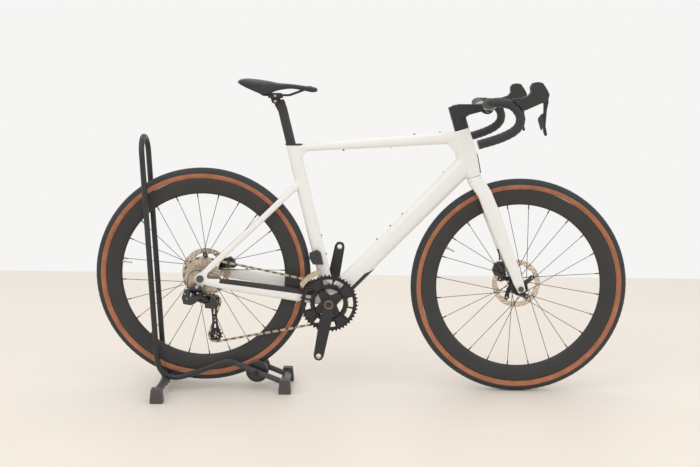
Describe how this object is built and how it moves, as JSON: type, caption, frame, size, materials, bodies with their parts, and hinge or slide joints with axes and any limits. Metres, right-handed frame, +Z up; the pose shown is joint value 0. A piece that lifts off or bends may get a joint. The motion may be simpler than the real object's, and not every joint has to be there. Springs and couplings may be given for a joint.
{
  "type": "bicycle on stand",
  "caption": "Drop-bar gravel road bicycle with disc brakes, deep rims and a two-ring electronic drivetrain, its rear wheel parked in a tubular steel roller stand.",
  "frame": {"origin": "on the floor, midway between the bicycle's two ends and on its centre plane", "axes": "+X towards the front wheel, +Y to the rider's left (away from the drive side), +Z up"},
  "size_m": [1.7356, 0.4819, 1.015],
  "materials": {
    "frame_paint": "satin warm white",
    "black_paint": "satin black",
    "carbon": "matt dark carbon",
    "black_alloy": "black anodised",
    "bronze_alloy": "bronze anodised",
    "steel": "silver with a warm cast",
    "black_steel": "black",
    "plastic": "black",
    "rubber": "black",
    "bar_tape": "black textured tape",
    "tyre": "black tread, tan side walls",
    "saddle_skin": "smooth black"
  },
  "bodies": {
    "stand": {"stand_hoop": "black_paint", "stand_roller_axle": "steel", "stand_foot_front_right": "rubber", "stand_foot_front_left": "rubber", "stand_foot_rear_right": "rubber", "stand_foot_rear_left": "rubber"},
    "roller_right": {"stand_roller_right": "plastic"},
    "roller_left": {"stand_roller_left": "plastic"},
    "bike": {"frame": "frame_paint", "seat_clamp_cover": "plastic", "bb_cup_left": "black_alloy", "bb_cup_right": "black_alloy", "headset_bearing_lower": "steel", "headset_bearing_upper": "steel", "rear_thru_axle": "black_alloy", "rear_brake_caliper": "black_alloy", "rear_brake_hose": "rubber", "front_derailleur_body": "plastic", "chain": "steel", "shift_wire": "rubber", "derailleur_mount_knuckle": "plastic"},
    "rear_wheel": {"rear_tyre": "tyre", "rear_rim": "carbon", "rear_hub": "black_alloy", "rear_rotor": "steel"},
    "cassette_body": {"cassette": "steel"},
    "crankset": {"crank_arm_right": "black_alloy", "crank_arm_left": "black_alloy", "chainring_large": "black_alloy", "chainring_small": "bronze_alloy"},
    "fd_cage": {"front_derailleur_cage": "steel"},
    "rd_link_outer": {"derailleur_link_outer": "plastic"},
    "rd_link_inner": {"derailleur_link_inner": "plastic"},
    "rd_knuckle": {"derailleur_cage_knuckle": "plastic"},
    "rd_cage": {"derailleur_cage_outer": "black_alloy", "derailleur_cage_inner": "black_alloy"},
    "guide_pulley_wheel": {"guide_pulley": "plastic"},
    "tension_pulley_wheel": {"tension_pulley": "plastic"},
    "steering": {"fork": "frame_paint", "headset_spacer": "plastic", "stem": "black_paint", "handlebar": "bar_tape", "hood_left": "rubber", "hood_right": "rubber", "front_brake_caliper": "black_alloy", "front_brake_hose": "rubber", "front_thru_axle": "black_alloy"},
    "front_wheel": {"front_tyre": "tyre", "front_rim": "carbon", "front_hub": "black_alloy", "front_rotor": "steel"},
    "lever_right": {"brake_lever_right": "black_alloy"},
    "lever_left": {"brake_lever_left": "black_alloy"},
    "paddle_right": {"shift_paddle_right": "plastic"},
    "paddle_left": {"shift_paddle_left": "plastic"},
    "post": {"seatpost": "carbon"},
    "clamp": {"saddle_clamp": "black_alloy"},
    "saddle": {"saddle_cover": "saddle_skin", "saddle_rails": "black_steel"}
  },
  "joints": [
    {"name": "bike_lift_off", "type": "slide", "parent": "stand", "child": "bike", "axis": [0.7071, 0, 0.7071], "range_m": [0, 0.3]},
    {"name": "roller_right_spin", "type": "hinge", "parent": "stand", "child": "roller_right", "pos_m": [-0.33733, -0.02, 0.06206], "axis": [0, 1, 0], "continuous": true},
    {"name": "roller_left_spin", "type": "hinge", "parent": "stand", "child": "roller_left", "pos_m": [-0.33733, 0.02, 0.06206], "axis": [0, 1, 0], "continuous": true},
    {"name": "rear_wheel_spin", "type": "hinge", "parent": "bike", "child": "rear_wheel", "pos_m": [-0.51584, 0, 0.3763], "axis": [0, 1, 0], "continuous": true},
    {"name": "crank_spin", "type": "hinge", "parent": "bike", "child": "crankset", "pos_m": [-0.10226, 0, 0.2955], "axis": [0, 1, 0], "continuous": true},
    {"name": "cassette_spin", "type": "hinge", "parent": "bike", "child": "cassette_body", "pos_m": [-0.51584, -0.046, 0.3763], "axis": [0, 1, 0], "continuous": true},
    {"name": "front_derailleur_shift", "type": "slide", "parent": "bike", "child": "fd_cage", "axis": [0, -1, 0], "range_m": [0, 0.0075]},
    {"name": "rear_derailleur_shift", "type": "hinge", "parent": "bike", "child": "rd_link_outer", "pos_m": [-0.53788, -0.0875, 0.32714], "axis": [0, 0.6428, 0.766], "range_deg": [-53, 0], "deforming": ["chain"]},
    {"name": "rear_derailleur_inner_link", "type": "hinge", "parent": "bike", "child": "rd_link_inner", "pos_m": [-0.54161, -0.07559, 0.31714], "axis": [0, 0.6428, 0.766], "range_deg": [-53, 0]},
    {"name": "rear_derailleur_knuckle_turn", "type": "hinge", "parent": "rd_link_outer", "child": "rd_knuckle", "pos_m": [-0.49191, -0.05796, 0.30235], "axis": [0, 0.6428, 0.766], "range_deg": [0, 53]},
    {"name": "rear_derailleur_cage_swing", "type": "hinge", "parent": "rd_knuckle", "child": "rd_cage", "pos_m": [-0.47978, -0.034, 0.29135], "axis": [0, 1, 0], "range_deg": [-20, 28], "stiffness_Nm_per_rad": 0.6},
    {"name": "guide_pulley_spin", "type": "hinge", "parent": "rd_cage", "child": "guide_pulley_wheel", "pos_m": [-0.47978, -0.0265, 0.29135], "axis": [0, 1, 0], "continuous": true},
    {"name": "tension_pulley_spin", "type": "hinge", "parent": "rd_cage", "child": "tension_pulley_wheel", "pos_m": [-0.47397, -0.0265, 0.1805], "axis": [0, 1, 0], "continuous": true},
    {"name": "steer", "type": "hinge", "parent": "bike", "child": "steering", "pos_m": [0.33737, 0, 0.78526], "axis": [-0.2924, 0, 0.9563], "range_deg": [-60, 60]},
    {"name": "front_wheel_spin", "type": "hinge", "parent": "steering", "child": "front_wheel", "pos_m": [0.51584, 0, 0.352], "axis": [0, 1, 0], "continuous": true},
    {"name": "seatpost_height", "type": "slide", "parent": "bike", "child": "post", "axis": [-0.2412, 0, 0.9705], "range_m": [-0.09, 0.06]},
    {"name": "saddle_tilt", "type": "hinge", "parent": "post", "child": "clamp", "pos_m": [-0.27893, 0, 0.94403], "axis": [0, 1, 0], "range_deg": [-3, 3]},
    {"name": "saddle_fore_aft", "type": "slide", "parent": "clamp", "child": "saddle", "axis": [1, 0, 0], "range_m": [-0.008, 0.008]},
    {"name": "brake_lever_right_pull", "type": "hinge", "parent": "steering", "child": "lever_right", "pos_m": [0.54583, -0.205, 0.95954], "axis": [0, 1, 0], "range_deg": [0, 18], "stiffness_Nm_per_rad": 2, "springref_deg": -5.73},
    {"name": "shift_paddle_right_push", "type": "hinge", "parent": "lever_right", "child": "paddle_right", "pos_m": [0.53923, -0.205, 0.89154], "axis": [0, 0, 1], "range_deg": [0, 5], "stiffness_Nm_per_rad": 0.3, "springref_deg": -2.86},
    {"name": "brake_lever_left_pull", "type": "hinge", "parent": "steering", "child": "lever_left", "pos_m": [0.54583, 0.205, 0.95954], "axis": [0, 1, 0], "range_deg": [0, 18], "stiffness_Nm_per_rad": 2, "springref_deg": -5.73},
    {"name": "shift_paddle_left_push", "type": "hinge", "parent": "lever_left", "child": "paddle_left", "pos_m": [0.53923, 0.205, 0.89154], "axis": [0, 0, -1], "range_deg": [0, 5], "stiffness_Nm_per_rad": 0.3, "springref_deg": -2.86}
  ],
  "couplings": [
    {"joint": "cassette_spin", "follows": "crank_spin", "ratio": 1},
    {"joint": "guide_pulley_spin", "follows": "crank_spin", "ratio": -2.7273},
    {"joint": "tension_pulley_spin", "follows": "crank_spin", "ratio": 2.7273},
    {"joint": "rear_derailleur_inner_link", "follows": "rear_derailleur_shift", "ratio": 1},
    {"joint": "rear_derailleur_knuckle_turn", "follows": "rear_derailleur_shift", "ratio": -1}
  ]
}
